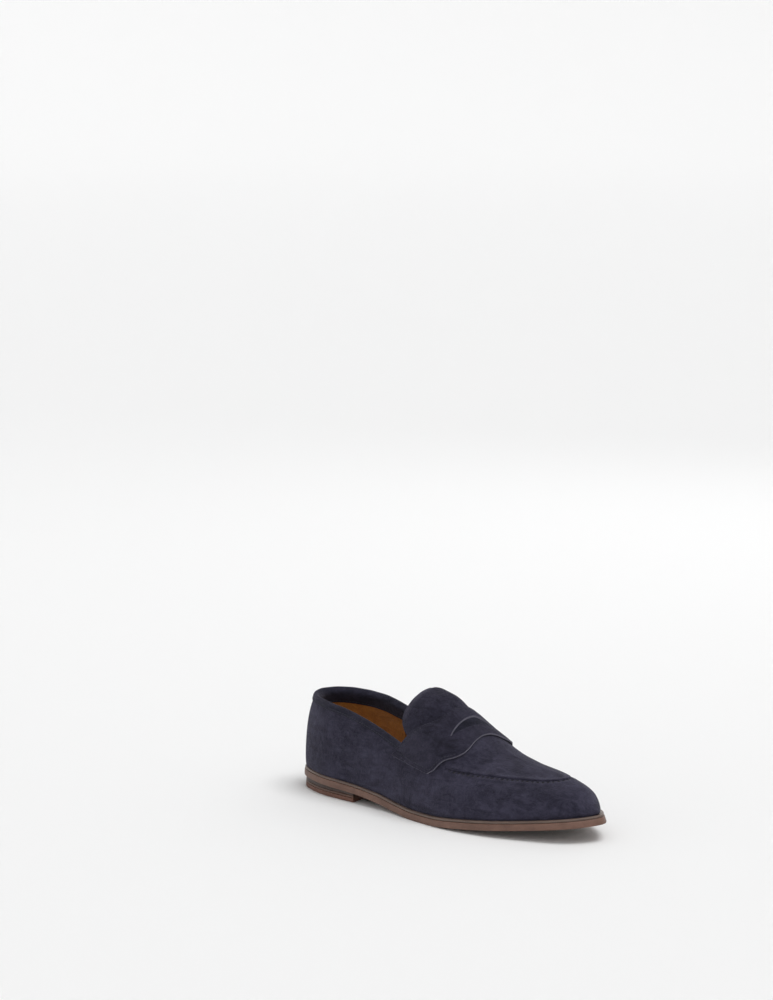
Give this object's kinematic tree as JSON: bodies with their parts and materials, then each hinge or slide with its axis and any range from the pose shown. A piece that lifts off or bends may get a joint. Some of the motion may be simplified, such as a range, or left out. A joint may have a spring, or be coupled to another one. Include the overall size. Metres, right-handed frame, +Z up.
{
  "type": "penny loafer",
  "caption": "Low suede slip-on shoe for the right foot with an apron seam, a saddle strap with a crescent slit, a lifting tongue, stitched sole and stacked heel.",
  "frame": {"origin": "middle of the shoe's bounding box at floor level", "axes": "+X from the heel to the toe, +Y to the inner (medial) side of a right foot, +Z up; the shoe stands on its heel and the ball of the sole"},
  "size_m": [0.2946, 0.1002, 0.092],
  "materials": {
    "outsole": "worn-in matte, fine crackled grain, smooth reddish border",
    "outsole_stitch": "waxed linen thread",
    "midsole": "burnished edge",
    "heel_top_lift": "fine matte grain",
    "heel_lift_lower": "stacked leather, burnished",
    "heel_lift_upper": "stacked leather, dark burnished",
    "heel_nail_1": "plain wire nail",
    "heel_nail_2": "plain wire nail",
    "heel_nail_3": "plain wire nail",
    "heel_nail_4": "plain wire nail",
    "heel_nail_5": "plain wire nail",
    "insole_board": "fibre board",
    "cork_filler": "granulated cork",
    "shank": "spring steel",
    "heel_pad": "soft latex foam",
    "sock_liner": "smooth tan lining leather",
    "side_wall": "napped navy suede",
    "apron": "napped navy suede",
    "apron_seam_thread": "thick dark navy thread",
    "saddle_strap": "napped navy suede",
    "strap_backing": "dark suede underlay",
    "strap_thread_outer": "navy thread",
    "strap_thread_inner": "navy thread",
    "tongue": "napped navy suede",
    "tongue_lining": "smooth tan lining leather",
    "collar_binding": "napped navy suede",
    "collar_thread": "dark navy thread",
    "back_stay": "napped navy suede",
    "back_stay_thread_outer": "dark navy thread",
    "back_stay_thread_inner": "dark navy thread",
    "heel_counter": "stiff leather board",
    "toe_puff": "stiffened felt-like leather",
    "vamp_lining": "twill lining cloth",
    "quarter_lining_outer": "smooth tan lining leather",
    "quarter_lining_inner": "smooth tan lining leather",
    "heel_grip_lining": "brushed tan leather"
  },
  "bodies": {
    "shoe": {"outsole": "outsole", "outsole_stitch": "outsole_stitch", "midsole": "midsole", "heel_top_lift": "heel_top_lift", "heel_lift_lower": "heel_lift_lower", "heel_lift_upper": "heel_lift_upper", "heel_nail_1": "heel_nail_1", "heel_nail_2": "heel_nail_2", "heel_nail_3": "heel_nail_3", "heel_nail_4": "heel_nail_4", "heel_nail_5": "heel_nail_5", "insole_board": "insole_board", "cork_filler": "cork_filler", "shank": "shank", "heel_pad": "heel_pad", "sock_liner": "sock_liner", "side_wall": "side_wall", "apron": "apron", "apron_seam_thread": "apron_seam_thread", "saddle_strap": "saddle_strap", "strap_backing": "strap_backing", "strap_thread_outer": "strap_thread_outer", "strap_thread_inner": "strap_thread_inner", "collar_binding": "collar_binding", "collar_thread": "collar_thread", "back_stay": "back_stay", "back_stay_thread_outer": "back_stay_thread_outer", "back_stay_thread_inner": "back_stay_thread_inner", "heel_counter": "heel_counter", "toe_puff": "toe_puff", "vamp_lining": "vamp_lining", "quarter_lining_outer": "quarter_lining_outer", "quarter_lining_inner": "quarter_lining_inner", "heel_grip_lining": "heel_grip_lining"},
    "tongue": {"tongue": "tongue", "tongue_lining": "tongue_lining"}
  },
  "joints": [
    {"name": "tongue_lift", "type": "hinge", "parent": "shoe", "child": "tongue", "pos_m": [0.0082, 0.0029, 0.0812], "axis": [0.2201, 0.9755, 0], "range_deg": [-5, 25], "stiffness_Nm_per_rad": 0.02}
  ]
}
